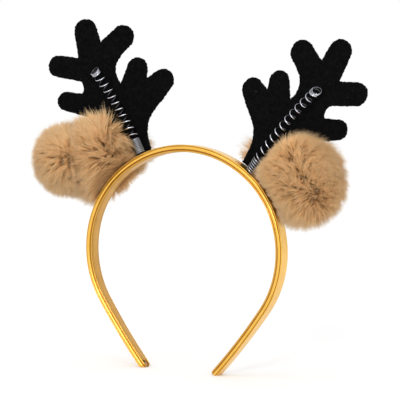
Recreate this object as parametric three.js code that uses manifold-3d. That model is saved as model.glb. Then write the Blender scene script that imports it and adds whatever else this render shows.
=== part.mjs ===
// Antler headband: a cloth-wrapped arch, two felt antlers on wire springs and four fur balls.
// Millimetres, +Z up, the wearer's face towards -Y. The band stands on its two tips at z = 0, and
// the origin is the middle of its floor box.
import * as THREE from 'three';
import { mergeVertices } from 'three/addons/utils/BufferGeometryUtils.js';
import Module from 'manifold-3d';

const wasm = await Module();
wasm.setup();

const DEG = Math.PI / 180;
const CLEARANCE = 0.3;

// Arch: centreline of the band, from its top down one side in three tangent arcs
const ARCH_TOP = 139.25;
const CROWN_R = 72.25;
const CROWN_SWEEP = 40.9 * DEG;
const SIDE_R = 60.55;
const SIDE_SWEEP = 83.3 * DEG;
const LEG_R = 398.75;
const LEG_LENGTH = 53.8;

// Band section: width along Y, thickness along the arch's normal
const BAND_T = 4.5;
const BAND_W = 9.6;
const BAND_TIP_W = 7.6;
const TAPER_START = 96;
const EDGE_R = 1.4;
const TIP_R = 2.9;
const TIP_THINNING = 0.25;
const TIP_STEPS = [0.3, 0.6, 0.85, 1];
const LINING_T = 1;
const LINING_PROUD = 0.15;
const LINING_INSET = 1.3;
const LINING_END = 4;
const HALF_STEPS = 24;
const CORNER_STEPS = [0, 0.5, 1];

// Springs: wire, coil radius to the wire's outside, and turns and pitch of each stretch
const WIRE_R = 0.35;
const COIL_R = 3.3;
const COIL_SIDES = 4;
const STEPS_PER_TURN = 7;
const TOP_TURNS = 2.5;
const TOP_PITCH = 1.1;
const TOP_TILT = 55 * DEG;
const COIL_BOW = 2.1;

// Felt of the antlers
const FELT_T = 3;
const FELT_BEVEL = 0.4;
const STEM_INNER = -7.4;
const STEM_OUTER = 1.8;
const ROUND_END_STEP = 30 * DEG;

// Where each antler stands: angle of its foot on the crown, tilt outboard, yaw forward, lean back;
// then its spring: how far outboard its foot and its top stand, and the turns of each stretch
const SIDES = {
  left: {
    sign: -1,
    foot: 27.3 * DEG,
    tilt: 33.4 * DEG,
    yaw: -5.5 * DEG,
    lean: 2.3 * DEG,
    coilShift: -2.3,
    coilSweep: 1.3,
    footTurns: 8.5,
    footPitch: 1.1,
    openTurns: 10.5,
    openPitch: 4.85,
    openTilt: 40 * DEG,
  },
  right: {
    sign: 1,
    foot: 34.7 * DEG,
    tilt: 41.6 * DEG,
    yaw: -8.3 * DEG,
    lean: 8.3 * DEG,
    coilShift: 4.4,
    coilSweep: -2.2,
    footTurns: 6,
    footPitch: 1.5,
    openTurns: 11,
    openPitch: 4.85,
    openTilt: 30 * DEG,
  },
};
const COIL_Y = -1.8;

// Round ends of the tines: centre outboard of and above the foot, and radius
const TINES = {
  topInner: { u: -6.6, v: 91.2, r: 7.7 },
  topOuter: { u: -27.1, v: 73.2, r: 7.6 },
  outHigh: { u: 21.5, v: 82.2, r: 7 },
  outLow: { u: 28.1, v: 59.4, r: 6.1 },
  inHigh: { u: -25.8, v: 50.3, r: 6.8 },
  inLow: { u: -37.1, v: 33.9, r: 7.2 },
};

// Fur balls: centre, radius, the seed that turns their locks, and whether one lies behind its antler
const BALLS = {
  pompom_left_inner: { x: -64.5, y: 3.6, z: 131.8, r: 32.2, seed: 3, side: 'left', behind: false },
  pompom_left_outer: { x: -82.4, y: -8.8, z: 130.2, r: 25.2, seed: 11, side: 'left', behind: false },
  pompom_right_outer: { x: 82.9, y: -7, z: 122.9, r: 30.2, seed: 23, side: 'right', behind: false },
  pompom_right_inner: { x: 59, y: 8.4, z: 126.5, r: 27.5, seed: 37, side: 'right', behind: true },
};
const LOCKS = 36;
const CORE_SHARE = 0.82;
const LOCK_REACH_LEAST = 0.97;
const LOCK_LEAN = 0.16;
const LOCK_ROOT_SHARE = 0.6;
const LOCK_BASE_SHARE = 0.4;
const LOCK_TIP_SHARE = 0.08;
const LOCK_SIDES = 5;
const COIL_ROOM_SIDES = 12;
const COIL_COVERED = 0.6;

const FAR = 200;

const gold = new THREE.MeshStandardMaterial({ color: 0xc68a17, roughness: 0.32, metalness: 0.6 });
const dullGold = new THREE.MeshStandardMaterial({ color: 0xc9912c, roughness: 0.5, metalness: 0.4 });
const blackFelt = new THREE.MeshStandardMaterial({ color: 0x0b0b0c, roughness: 0.95, metalness: 0 });
const wire = new THREE.MeshStandardMaterial({ color: 0xc4c8d0, roughness: 0.25, metalness: 1 });
const tanFur = new THREE.MeshStandardMaterial({ color: 0xb98c5c, roughness: 0.9, metalness: 0 });

const part = new THREE.Group();
part.name = 'antler_headband';

// Cuts and joins

function toSolid(geometry, matrix = new THREE.Matrix4()) {
  const bare = geometry.clone();
  bare.deleteAttribute('normal');
  bare.deleteAttribute('uv');
  bare.applyMatrix4(matrix);
  const merged = mergeVertices(bare, 1e-4);
  return new wasm.Manifold(new wasm.Mesh({
    numProp: 3,
    vertProperties: new Float32Array(merged.attributes.position.array),
    triVerts: new Uint32Array(merged.index.array),
  }));
}

function toGeometry(solid) {
  const mesh = solid.getMesh();
  const geometry = new THREE.BufferGeometry();
  geometry.setAttribute('position', new THREE.BufferAttribute(new Float32Array(mesh.vertProperties), 3));
  geometry.setIndex(new THREE.BufferAttribute(new Uint32Array(mesh.triVerts), 1));
  geometry.computeVertexNormals();
  return geometry;
}

function largestPiece(solid) {
  return solid.decompose().reduce((best, piece) => (piece.volume() > best.volume() ? piece : best));
}

function addMesh(name, geometry, material, parent = part) {
  const mesh = new THREE.Mesh(geometry, material);
  mesh.name = name;
  parent.add(mesh);
  return mesh;
}

function boxBetween(low, high) {
  const size = new THREE.Vector3().subVectors(high, low);
  const middle = new THREE.Vector3().addVectors(low, high).multiplyScalar(0.5);
  return new THREE.BoxGeometry(size.x, size.y, size.z).translate(middle.x, middle.y, middle.z);
}

// Arch

const ARCS = [
  { radius: CROWN_R, sweep: CROWN_SWEEP },
  { radius: SIDE_R, sweep: SIDE_SWEEP },
  { radius: LEG_R, sweep: LEG_LENGTH / LEG_R },
];
const HALF_LENGTH = ARCS.reduce((sum, arc) => sum + arc.radius * arc.sweep, 0);

// Point on the centreline and its outward normal, at a signed length from the top
function archAt(length) {
  const side = Math.sign(length) || 1;
  let left = Math.abs(length);
  let x = 0;
  let z = ARCH_TOP;
  let heading = 0;
  for (const { radius, sweep } of ARCS) {
    const turn = Math.min(left / radius, sweep);
    x += radius * (Math.sin(heading + turn) - Math.sin(heading));
    z -= radius * (Math.cos(heading) - Math.cos(heading + turn));
    heading += turn;
    left -= turn * radius;
  }
  const normal = new THREE.Vector3(side * Math.sin(heading), 0, Math.cos(heading));
  return { centre: new THREE.Vector3(side * x, 0, z), normal };
}

function bandWidth(length) {
  const taper = THREE.MathUtils.smoothstep(Math.abs(length), TAPER_START, HALF_LENGTH);
  return BAND_W + (BAND_TIP_W - BAND_W) * taper;
}

// How far a round end draws the edge in, at a distance from the end of the strip
function endInset(distance, radius) {
  const reach = Math.min(distance, radius);
  return radius - Math.sqrt(radius ** 2 - (radius - reach) ** 2);
}

// Lengths at which a strip has its sections: even along the arch, closer in the round ends.
// None is at the very top, so that the crown has a flat there.
function stations(end, round) {
  const step = (end - round) / (HALF_STEPS - 0.5);
  const half = [];
  for (let i = 0; i < HALF_STEPS; i += 1) {
    half.push((i + 0.5) * step);
  }
  const ends = TIP_STEPS.map((share) => end - round + share * round);
  const side = [...half, ...ends];
  return [...side.map((length) => -length).reverse(), ...side];
}

// Closed strip along the arch: section(length) lists [across, outward] corners in turn
function strip(lengths, section) {
  const rings = lengths.map((length) => {
    const { centre, normal } = archAt(length);
    return section(length).map(([across, outward]) => (
      new THREE.Vector3(centre.x, across, centre.z).addScaledVector(normal, outward)
    ));
  });
  const count = rings[0].length;
  const positions = rings.flat().flatMap((point) => point.toArray());
  const index = [];
  for (let ring = 0; ring < rings.length - 1; ring += 1) {
    for (let i = 0; i < count; i += 1) {
      const a = ring * count + i;
      const b = ring * count + ((i + 1) % count);
      index.push(a, a + count, b, b, a + count, b + count);
    }
  }
  const last = (rings.length - 1) * count;
  for (let i = 1; i < count - 1; i += 1) {
    index.push(0, i, i + 1);
    index.push(last, last + i + 1, last + i);
  }
  const geometry = new THREE.BufferGeometry();
  geometry.setAttribute('position', new THREE.Float32BufferAttribute(positions, 3));
  geometry.setIndex(index);
  return geometry;
}

// Rounded rectangle for the strip, corners in turn from the outer face's -Y edge
function roundedSection(halfWidth, inner, outer, radius) {
  const corners = [];
  const add = (across, outward, from) => {
    for (const share of CORNER_STEPS) {
      const angle = from - share * 90 * DEG;
      corners.push([across + radius * Math.cos(angle), outward + radius * Math.sin(angle)]);
    }
  };
  add(-halfWidth + radius, outer - radius, 180 * DEG);
  add(halfWidth - radius, outer - radius, 90 * DEG);
  add(halfWidth - radius, inner + radius, 0);
  add(-halfWidth + radius, inner + radius, -90 * DEG);
  return corners;
}

function wrapGeometry(grow = 0) {
  const lengths = stations(HALF_LENGTH, TIP_R);
  return strip(lengths, (length) => {
    const inset = endInset(HALF_LENGTH - Math.abs(length), TIP_R);
    const half = bandWidth(length) / 2 - inset + grow;
    const thick = BAND_T / 2 - inset * TIP_THINNING + grow;
    return roundedSection(half, -thick, thick, Math.min(EDGE_R, half - CLEARANCE / 2));
  });
}

function liningGeometry(grow = 0) {
  const end = HALF_LENGTH - LINING_END + grow;
  const inner = -BAND_T / 2 - LINING_PROUD;
  return strip(stations(end, TIP_R), (length) => {
    const inset = endInset(end - Math.abs(length), TIP_R);
    const half = bandWidth(length) / 2 - LINING_INSET - inset + grow;
    return [
      [-half, inner + LINING_T + grow],
      [half, inner + LINING_T + grow],
      [half, inner - grow],
      [-half, inner - grow],
    ];
  });
}

// The tips are cut level where they stand
const floor = toSolid(boxBetween(new THREE.Vector3(-FAR, -FAR, -FAR), new THREE.Vector3(FAR, FAR, 0)));
const bandSolid = toSolid(wrapGeometry()).subtract(toSolid(liningGeometry(CLEARANCE))).subtract(floor);
addMesh('band_wrap', toGeometry(bandSolid), gold);
addMesh('band_lining', liningGeometry(), dullGold);

// Everything inside the band's outer face, from far in front back to a plane across Y
function insideArchGeometry(rear) {
  const outline = stations(HALF_LENGTH, TIP_R).map((length) => {
    const { centre, normal } = archAt(length);
    const point = centre.addScaledVector(normal, BAND_T / 2 + CLEARANCE);
    return new THREE.Vector2(point.x, point.z);
  });
  const shape = new THREE.Shape(outline);
  const block = new THREE.ExtrudeGeometry(shape, { depth: FAR, bevelEnabled: false });
  return block.rotateX(90 * DEG).translate(0, rear, 0);
}

// Antlers

// Point where a straight flank from a notch touches a tine's round end; turn picks the side
function tangentAngle(tine, [u, v], turn) {
  const away = Math.atan2(v - tine.v, u - tine.u);
  return away + turn * Math.acos(tine.r / Math.hypot(u - tine.u, v - tine.v));
}

function onTine(tine, angle) {
  return [tine.u + tine.r * Math.cos(angle), tine.v + tine.r * Math.sin(angle)];
}

// Round end drawn clockwise from one flank's touching point to the other's
function tineEnd(tine, before, after) {
  const start = tangentAngle(tine, before, -1);
  let stop = tangentAngle(tine, after, 1);
  while (stop > start) {
    stop -= 2 * Math.PI;
  }
  const steps = Math.ceil((start - stop) / ROUND_END_STEP);
  const points = [];
  for (let i = 0; i <= steps; i += 1) {
    points.push(onTine(tine, start + ((stop - start) * i) / steps));
  }
  return points;
}

function smooth(points, divisions) {
  const curve = new THREE.SplineCurve(points.map(([u, v]) => new THREE.Vector2(u, v)));
  return curve.getPoints(divisions).map((point) => [point.x, point.y]);
}

// Height of the band's outer face in the antler's own plane, measured from the foot
function seatHeight(side, u) {
  const slope = Math.tan(side.tilt - side.foot);
  return u * slope - u ** 2 / (2 * (CROWN_R + BAND_T / 2));
}

function antlerOutline(side) {
  const lift = 2 * CLEARANCE + (FELT_T / 2) * Math.sin(side.lean);
  const baseInner = [STEM_INNER, seatHeight(side, STEM_INNER) + lift];
  const baseOuter = [STEM_OUTER, seatHeight(side, STEM_OUTER) + lift];
  const underInner = [[-30.5, 23.7], [-23.5, 21.6], [-17.6, 18.9], [-12.9, 14.6], [-9.6, 8.2]];
  const notchInner = [-27.5, 40.9];
  const notchStem = [-10.8, 47.6];
  const hollowInner = [[-10.5, 53.6], [-12.2, 58.6], [-16.2, 62.3], [-22.4, 64.6]];
  const notchTop = [-11.8, 78.8];
  const notchOuter = [6.2, 78.7];
  const hollowOuter = [[12.4, 64.6], [12.3, 61.6], [13.4, 58.8], [15.4, 57.1]];
  const underOuter = [[25.8, 48.2], [17.8, 39.6], [10.8, 30.6], [6.4, 21], [3.6, 10.5]];
  return [
    ...smooth([baseInner, ...[...underInner].reverse()], 8),
    ...tineEnd(TINES.inLow, underInner[0], notchInner),
    notchInner,
    ...tineEnd(TINES.inHigh, notchInner, notchStem),
    ...smooth([notchStem, ...hollowInner], 6),
    ...tineEnd(TINES.topOuter, hollowInner[3], notchTop),
    notchTop,
    ...tineEnd(TINES.topInner, notchTop, notchOuter),
    notchOuter,
    ...tineEnd(TINES.outHigh, notchOuter, hollowOuter[0]),
    ...smooth(hollowOuter, 4),
    ...tineEnd(TINES.outLow, hollowOuter[3], underOuter[0]),
    ...smooth([...underOuter, baseOuter], 8),
  ];
}

// Felt plate standing in the XY plane, its middle at the depth that clears the spring
function feltGeometry(side, grow = 0) {
  const outline = antlerOutline(side).map(([u, v]) => new THREE.Vector2(side.sign * u, v));
  const bevel = grow > 0 ? grow : FELT_BEVEL;
  const depth = grow > 0 ? FELT_T : FELT_T - 2 * bevel;
  const plate = new THREE.ExtrudeGeometry(new THREE.Shape(outline), {
    depth,
    bevelSize: bevel,
    bevelThickness: bevel,
    bevelOffset: grow > 0 ? 0 : -bevel,
    bevelSegments: 1,
    curveSegments: 1,
  });
  return plate.translate(0, 0, -depth / 2 - COIL_R - CLEARANCE - FELT_T / 2);
}

// Frame of one side: origin on the band's outer face, X outboard, Y up the spring, Z to the front
function sideFrame(side) {
  const { centre, normal } = archAt(side.sign * side.foot * CROWN_R);
  const outer = new THREE.Group();
  outer.position.copy(centre.addScaledVector(normal, BAND_T / 2));
  outer.position.y = COIL_Y;
  outer.rotation.z = side.sign * side.yaw;
  const leaning = new THREE.Group();
  leaning.rotation.x = 90 * DEG - side.lean;
  const tilted = new THREE.Group();
  tilted.rotation.z = -side.sign * side.tilt;
  outer.add(leaning);
  leaning.add(tilted);
  return { outer, tilted };
}

// Springs

// Coil of several stretches; from one to the next its loops tip further, front down and rear up
class CoilCurve extends THREE.Curve {
  constructor(stretches, radius, start, sweep, bow) {
    super();
    this.stretches = stretches;
    this.radius = radius;
    this.start = start;
    this.sweep = sweep;
    this.bow = bow;
    this.turns = stretches.reduce((sum, stretch) => sum + stretch.turns, 0);
    this.rise = stretches.reduce((sum, stretch) => sum + stretch.turns * stretch.pitch, 0);
  }

  // How far the coil's axis stands beside its foot, at a share of its height
  drift(share) {
    return this.sweep * share - 4 * this.bow * share * (1 - share);
  }

  getPoint(t, target = new THREE.Vector3()) {
    let left = t * this.turns;
    let height = this.start;
    let tilt = 0;
    for (const { turns, pitch, tiltAtEnd } of this.stretches) {
      const used = Math.min(left, turns);
      height += used * pitch;
      tilt += (used / turns) * (tiltAtEnd - tilt);
      left -= used;
    }
    const angle = t * this.turns * 2 * Math.PI;
    const depth = this.radius * Math.sin(angle);
    return target.set(
      this.radius * Math.cos(angle) + this.drift((height - this.start) / this.rise),
      height - depth * Math.sin(tilt),
      depth * Math.cos(tilt),
    );
  }

  // Equal steps of turn, so that every turn has the same number of sections
  getPointAt(t, target) {
    return this.getPoint(t, target);
  }

  getTangentAt(t, target) {
    return this.getTangent(t, target);
  }
}

function circleShape(radius, sides) {
  const points = [];
  for (let i = 0; i < sides; i += 1) {
    const angle = (i / sides) * 2 * Math.PI;
    points.push(new THREE.Vector2(radius * Math.cos(angle), radius * Math.sin(angle)));
  }
  return new THREE.Shape(points);
}

// Height of the lowest wire, so that the coil's rim just clears the band's outer face
function coilStart(side) {
  const rim = COIL_R * (Math.sin(Math.abs(side.tilt - side.foot)) + Math.sin(side.lean));
  const drop = seatHeight(side, side.coilShift);
  return drop + rim + WIRE_R + CLEARANCE;
}

function springGeometry(side) {
  const curve = new CoilCurve([
    { turns: side.footTurns, pitch: side.footPitch, tiltAtEnd: 0 },
    { turns: side.openTurns, pitch: side.openPitch, tiltAtEnd: side.openTilt },
    { turns: TOP_TURNS, pitch: TOP_PITCH, tiltAtEnd: TOP_TILT },
  ], COIL_R - WIRE_R, coilStart(side), side.sign * side.coilSweep, side.sign * COIL_BOW);
  const coil = new THREE.ExtrudeGeometry(circleShape(WIRE_R, COIL_SIDES), {
    steps: Math.round(curve.turns * STEPS_PER_TURN),
    extrudePath: curve,
    bevelEnabled: false,
  });
  return coil.translate(side.sign * side.coilShift, 0, 0);
}

// Fur balls

// Repeatable numbers from 0 to 1
function randomFrom(seed) {
  let state = seed * 9301 + 49297;
  return () => {
    state = (state * 1103515245 + 12345) % 2147483648;
    return state / 2147483648;
  };
}

// Even directions over a sphere
function direction(i, count) {
  const z = 1 - (2 * i + 1) / count;
  const ring = Math.sqrt(1 - z * z);
  const angle = i * Math.PI * (3 - Math.sqrt(5));
  return new THREE.Vector3(ring * Math.cos(angle), ring * Math.sin(angle), z);
}

// Head of a fur ball with its locks fused on
function furBall(ball) {
  const random = randomFrom(ball.seed);
  const turn = new THREE.Quaternion().setFromEuler(new THREE.Euler(ball.seed, ball.seed * 2, 0));
  let solid = toSolid(new THREE.IcosahedronGeometry(ball.r * CORE_SHARE, 1));
  for (let i = 0; i < LOCKS; i += 1) {
    const way = direction(i, LOCKS).applyQuaternion(turn);
    const tip = ball.r * (LOCK_REACH_LEAST + (1 - LOCK_REACH_LEAST) * random());
    const root = ball.r * LOCK_ROOT_SHARE;
    const lock = new THREE.CylinderGeometry(
      ball.r * LOCK_TIP_SHARE, ball.r * LOCK_BASE_SHARE, tip - root, LOCK_SIDES,
    );
    lock.rotateY(random() * Math.PI).translate(0, (tip + root) / 2, 0);
    const lean = new THREE.Vector3(random() - 0.5, random() - 0.5, random() - 0.5);
    lean.multiplyScalar(LOCK_LEAN);
    const aim = new THREE.Quaternion().setFromUnitVectors(
      new THREE.Vector3(0, 1, 0), way.add(lean).normalize(),
    );
    solid = solid.add(toSolid(lock.applyQuaternion(aim)));
  }
  return solid.translate([ball.x, ball.y, ball.z]);
}

// Block on this ball's far side of the plane where two neighbouring balls press together
function neighbourBlock(ball, other) {
  const from = new THREE.Vector3(ball.x, ball.y, ball.z);
  const to = new THREE.Vector3(other.x, other.y, other.z);
  const gap = to.clone().sub(from);
  const apart = gap.length();
  const reach = (apart ** 2 + ball.r ** 2 - other.r ** 2) / (2 * apart) - CLEARANCE / 2;
  const block = new THREE.BoxGeometry(FAR, FAR, FAR).translate(0, 0, reach + FAR / 2);
  const aim = new THREE.Quaternion().setFromUnitVectors(new THREE.Vector3(0, 0, 1), gap.normalize());
  return toSolid(block.applyQuaternion(aim).translate(from.x, from.y, from.z));
}

const frames = {};
for (const [name, side] of Object.entries(SIDES)) {
  const { outer, tilted } = sideFrame(side);
  part.add(outer);
  addMesh(`antler_${name}`, feltGeometry(side), blackFelt, tilted);
  addMesh(`spring_${name}`, springGeometry(side), wire, tilted);
  frames[name] = tilted;
}
part.updateMatrixWorld(true);

// Room kept free of fur round one antler: the felt, the spring, and what lies in front of the stem
function antlerRoom(name, ball) {
  const side = SIDES[name];
  const matrix = frames[name].matrixWorld;
  const felt = toSolid(feltGeometry(side, CLEARANCE), matrix);
  const roomR = COIL_R + CLEARANCE;
  const coil = new THREE.CylinderGeometry(roomR, roomR, FAR, COIL_ROOM_SIDES);
  const coilRoom = toSolid(coil.translate(side.sign * side.coilShift, 0, 0), matrix);
  const covered = ball.behind ? FAR : side.coilShift + COIL_R * COIL_COVERED;
  const feltFront = -COIL_R - CLEARANCE;
  const edges = [-side.sign * FAR, side.sign * covered].sort((a, b) => a - b);
  const front = toSolid(boxBetween(
    new THREE.Vector3(edges[0], -FAR, feltFront),
    new THREE.Vector3(edges[1], FAR, FAR),
  ), matrix);
  return felt.add(coilRoom).add(front);
}

const insideArch = toSolid(insideArchGeometry(BAND_W / 2 + CLEARANCE));
const underArch = toSolid(insideArchGeometry(FAR / 2));
const bandRoom = toSolid(wrapGeometry(CLEARANCE));
for (const [name, ball] of Object.entries(BALLS)) {
  const hollow = ball.behind ? underArch : insideArch;
  let fur = furBall(ball).subtract(bandRoom).subtract(hollow).subtract(antlerRoom(ball.side, ball));
  for (const [otherName, other] of Object.entries(BALLS)) {
    if (otherName !== name && other.side === ball.side) {
      fur = fur.subtract(neighbourBlock(ball, other));
    }
  }
  addMesh(name, toGeometry(largestPiece(fur)), tanFur);
}

// The antlers and balls aren't quite alike on the two sides, so the group moves to its box's middle
const middle = new THREE.Box3().setFromObject(part, true).getCenter(new THREE.Vector3());
part.position.set(-middle.x, -middle.y, 0);

export default part;
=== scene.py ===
# %% [markdown]
# # An antler headband, piece by piece
# The object is a child's or adult's party headband: a gold cloth-wrapped arch, two black felt antlers
# that stand on thin wire springs, and four tan fur balls at their feet. Every piece below is
# first described as the thing it really is, then made in the way that suits that thing.
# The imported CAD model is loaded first. It fixes every place and size, so nothing is fitted by eye.

# %% Open the frame
import math

import bmesh
import bpy
import numpy as np
from mathutils import Matrix, Vector


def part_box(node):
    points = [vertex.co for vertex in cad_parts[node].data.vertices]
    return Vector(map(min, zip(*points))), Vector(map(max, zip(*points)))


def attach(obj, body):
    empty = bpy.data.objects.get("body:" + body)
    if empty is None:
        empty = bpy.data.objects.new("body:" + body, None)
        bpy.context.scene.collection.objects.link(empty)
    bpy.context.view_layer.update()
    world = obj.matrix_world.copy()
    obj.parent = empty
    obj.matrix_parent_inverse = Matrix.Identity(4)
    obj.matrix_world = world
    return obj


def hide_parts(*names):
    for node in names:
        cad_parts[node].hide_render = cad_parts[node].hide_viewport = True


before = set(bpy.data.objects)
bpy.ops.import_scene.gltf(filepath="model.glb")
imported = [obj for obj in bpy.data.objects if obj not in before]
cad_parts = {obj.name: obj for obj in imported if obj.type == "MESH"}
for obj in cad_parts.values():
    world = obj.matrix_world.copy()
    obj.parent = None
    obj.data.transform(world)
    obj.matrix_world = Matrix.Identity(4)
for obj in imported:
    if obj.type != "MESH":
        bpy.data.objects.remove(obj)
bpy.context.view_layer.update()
band_low, band_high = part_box("band_wrap")
ARCH_SHIFT = np.array([(band_low.x + band_high.x) / 2, (band_low.y + band_high.y) / 2, 0.0]) * 1000
print("nodes:", sorted(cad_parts))
print("arch stands at", ARCH_SHIFT.round(3), "mm")

# %% [markdown]
# Two small helpers are used all the way through. The first turns lists of points in millimetres
# into a mesh object at the origin, because a finished object keeps its place in its mesh. The
# second builds a node tree from short lines, so that a material reads like a recipe.

# %% Helpers for meshes
MM = 0.001


def mesh_object(name, points_mm, faces, smooth=True):
    mesh = bpy.data.meshes.new(name)
    mesh.from_pydata((np.asarray(points_mm) * MM).tolist(), [], faces)
    mesh.update()
    thing = bpy.data.objects.new(name, mesh)
    bpy.context.scene.collection.objects.link(thing)
    if smooth:
        mesh.shade_smooth()
    return thing


def face_outwards(thing, angle=None):
    shell = bmesh.new()
    shell.from_mesh(thing.data)
    bmesh.ops.recalc_face_normals(shell, faces=shell.faces)
    shell.to_mesh(thing.data)
    shell.free()
    if angle is not None:
        thing.data.set_sharp_from_angle(angle=math.radians(angle))


def put_number(thing, name, values, kind="FLOAT"):
    layer = thing.data.attributes.new(name, kind, "POINT")
    field = "value" if kind == "FLOAT" else "vector"
    layer.data.foreach_set(field, np.asarray(values, dtype=np.float32).ravel())


def triangles(thing):
    thing.data.calc_loop_triangles()
    return len(thing.data.loop_triangles)


print("mesh helpers ready")

# %% [markdown]
# A node tree is a list of nodes and the wires between them. Written out in full it hides what it
# does, so these short functions add one node each, wire up its inputs and hand back its output.
# The same ones serve the materials and the Geometry Nodes trees, which share their maths nodes.

# %% Helpers for node trees
def node(tree, kind, inputs=None, **settings):
    made = tree.nodes.new(kind)
    for key, value in settings.items():
        setattr(made, key, value)
    for key, value in (inputs or {}).items():
        if isinstance(value, bpy.types.NodeSocket):
            tree.links.new(value, made.inputs[key])
        else:
            made.inputs[key].default_value = value
    return made


def maths(tree, operation, first, second=0.0, third=0.0):
    return node(tree, "ShaderNodeMath", {0: first, 1: second, 2: third}, operation=operation).outputs[0]


def vectors(tree, operation, first, second=(0, 0, 0)):
    return node(tree, "ShaderNodeVectorMath", {0: first, 1: second}, operation=operation).outputs[0]


def blend_colours(tree, share, first, second, way="MIX"):
    mix = node(tree, "ShaderNodeMix", data_type="RGBA", blend_type=way)
    for socket, value in ((mix.inputs[0], share), (mix.inputs[6], first), (mix.inputs[7], second)):
        if isinstance(value, bpy.types.NodeSocket):
            tree.links.new(value, socket)
        else:
            socket.default_value = value
    return mix.outputs[2]


def colour_ramp(tree, factor, stops):
    ramp = node(tree, "ShaderNodeValToRGB", {0: factor})
    while len(ramp.color_ramp.elements) < len(stops):
        ramp.color_ramp.elements.new(0.5)
    for element, (place, colour) in zip(ramp.color_ramp.elements, stops):
        element.position = place
        element.color = (*colour, 1.0)
    return ramp.outputs[0]


def noise(tree, place, scale, detail, **more):
    inputs = {"Vector": place, "Scale": scale, "Detail": detail, **more}
    return node(tree, "ShaderNodeTexNoise", inputs).outputs[0]


def between(tree, value, **ends):
    inputs = {"Value": value, **{key.replace("_", " "): end for key, end in ends.items()}}
    return node(tree, "ShaderNodeMapRange", inputs).outputs[0]


def new_finish(name):
    finish = bpy.data.materials.new(name)
    finish.use_nodes = True
    tree = finish.node_tree
    return finish, tree, tree.nodes["Principled BSDF"]


print("node helpers ready")

# %% [markdown]
# The photograph was taken with a long lens, a little above the crown of the band and turned
# about thirty degrees to its right. A long lens keeps the two tips nearly the same size. The
# camera is placed by its distance from the middle of the headband and then rolled slightly,
# because the picture leans by under two degrees.

# %% Camera
CAMERA_AZIMUTH = math.radians(29.5)
CAMERA_ELEVATION = math.radians(2.1)
CAMERA_ROLL = math.radians(1.76)
CAMERA_DISTANCE = 1.0
CAMERA_LENS = 145.16
CAMERA_SENSOR = 36
TARGET_FROM_ARCH = (10.5, 0.0, 107.5)
CAMERA_TARGET = Vector((ARCH_SHIFT + TARGET_FROM_ARCH) * MM)

away = Vector((
    math.sin(CAMERA_AZIMUTH) * math.cos(CAMERA_ELEVATION),
    -math.cos(CAMERA_AZIMUTH) * math.cos(CAMERA_ELEVATION),
    math.sin(CAMERA_ELEVATION),
))
across = Vector((math.cos(CAMERA_AZIMUTH), math.sin(CAMERA_AZIMUTH), 0))
upright = away.cross(across)
rolled_across = across * math.cos(CAMERA_ROLL) + upright * math.sin(CAMERA_ROLL)
rolled_up = upright * math.cos(CAMERA_ROLL) - across * math.sin(CAMERA_ROLL)
camera_data = bpy.data.cameras.new("photo_camera")
camera_data.lens = CAMERA_LENS
camera_data.sensor_width = CAMERA_SENSOR
camera = bpy.data.objects.new("photo_camera", camera_data)
bpy.context.scene.collection.objects.link(camera)
camera.matrix_world = Matrix.Translation(CAMERA_TARGET + away * CAMERA_DISTANCE) @ Matrix((
    rolled_across, rolled_up, away,
)).transposed().to_4x4()
bpy.context.scene.camera = camera
print("camera at", [round(v, 3) for v in camera.location])

# %% [markdown]
# The arch is drawn once, as a line that everything else can ask for a place. It is three arcs
# a side that meet without a corner: a wide crown, a tighter side and a nearly straight leg.
# The sizes repeat those of the part's source in millimetres. A length of nought is the top.

# %% The line of the arch
ARCH_TOP = 139.25
ARCS = ((72.25, math.radians(40.9)), (60.55, math.radians(83.3)), (398.75, 53.8 / 398.75))
HALF_LENGTH = sum(radius * sweep for radius, sweep in ARCS)
BAND_HALF_T = 2.25
BAND_W = 9.6
BAND_TIP_W = 7.6
TAPER_START = 96.0


def arch_at(lengths):
    lengths = np.asarray(lengths, dtype=float)
    left = np.abs(lengths)
    x = np.zeros_like(left)
    z = np.full_like(left, ARCH_TOP)
    heading = np.zeros_like(left)
    for radius, sweep in ARCS:
        turn = np.minimum(left / radius, sweep)
        x = x + radius * (np.sin(heading + turn) - np.sin(heading))
        z = z - radius * (np.cos(heading) - np.cos(heading + turn))
        heading = heading + turn
        left = left - turn * radius
    side = np.where(lengths < 0, -1.0, 1.0)
    centre = np.stack([side * x, np.zeros_like(x), z], axis=-1)
    normal = np.stack([side * np.sin(heading), np.zeros_like(x), np.cos(heading)], axis=-1)
    return centre, normal


def band_half_width(lengths):
    share = np.clip((np.abs(lengths) - TAPER_START) / (HALF_LENGTH - TAPER_START), 0, 1)
    share = share * share * (3 - 2 * share)
    return (BAND_W + (BAND_TIP_W - BAND_W) * share) / 2


def end_inset(distance, radius):
    reach = np.clip(distance, 0, radius)
    return radius - np.sqrt(np.maximum(radius**2 - (radius - reach) ** 2, 0))


print("half of the arch is", round(HALF_LENGTH, 1), "mm long")

# %% [markdown]
# ## The gold wrap
# A strip of thin gold satin is folded round a plastic core. Along both edges the cloth makes a
# plump roll, then a crease where it is pulled tight, then a small ridge where its raw edge is
# turned in under the lining. A bevelled box can't show that, so one half of the section is
# drawn as a short list of places, mirrored, smoothed, and swept along the arch in fine steps.
# A number is stored on every point for how much painted shade its crease gets, for the finish to read.

# %% Section of the wrap
# Columns: inwards from the edge, outwards from the middle, and how much painted shade (0 to 1)
ROLL_R = 1.15
CORNER_R = 0.6
RIDGE_R = 0.5
RIDGE_SHADE = 0.45


def round_part(centre_in, centre_out, radius, start, stop, count, shade=0.0):
    angles = np.radians(np.linspace(start, stop, count))
    return [[centre_in - radius * math.cos(a), centre_out + radius * math.sin(a), shade] for a in angles]


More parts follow.
